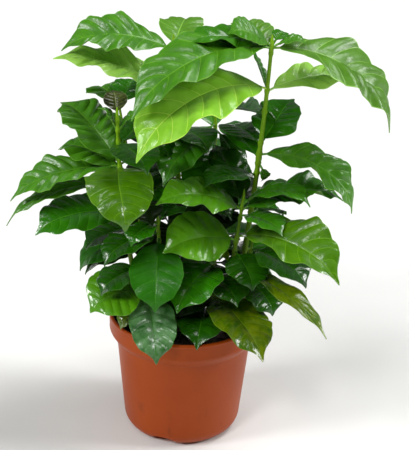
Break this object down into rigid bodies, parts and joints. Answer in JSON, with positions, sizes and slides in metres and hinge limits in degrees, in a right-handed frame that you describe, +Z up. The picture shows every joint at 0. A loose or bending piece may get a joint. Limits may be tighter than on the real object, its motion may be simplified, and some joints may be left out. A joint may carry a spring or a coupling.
{
  "type": "potted coffee plant",
  "caption": "Young coffee plant, a clump of seedlings with glossy wavy drip-tipped leaves, in a round terracotta-coloured plastic nursery pot of soil.",
  "frame": {"origin": "middle of the pot's flat underside", "axes": "+Z up along the pot's axis; +X to the right and +Y away for one who faces the plant as the picture does"},
  "size_m": [0.2915, 0.1888, 0.3333],
  "materials": {
    "pot_plastic": "satin terracotta-coloured plastic",
    "potting_soil": "dark moist crumbly peat",
    "coffee_stem": "green to brown young bark",
    "coffee_leaf": "glossy green leaves"
  },
  "bodies": {
    "root": {"pot": "pot_plastic", "soil": "potting_soil", "right_stem": "coffee_stem", "right_foliage": "coffee_leaf", "centre_right_stem": "coffee_stem", "centre_right_foliage": "coffee_leaf", "left_stem": "coffee_stem", "left_foliage": "coffee_leaf", "middle_stem": "coffee_stem", "middle_foliage": "coffee_leaf", "back_stem": "coffee_stem", "back_foliage": "coffee_leaf", "low_centre_stem": "coffee_stem", "low_centre_foliage": "coffee_leaf", "low_left_stem": "coffee_stem", "low_left_foliage": "coffee_leaf", "low_right_stem": "coffee_stem", "low_right_foliage": "coffee_leaf", "back_left_stem": "coffee_stem", "back_left_foliage": "coffee_leaf", "back_right_stem": "coffee_stem", "back_right_foliage": "coffee_leaf"}
  },
  "joints": []
}
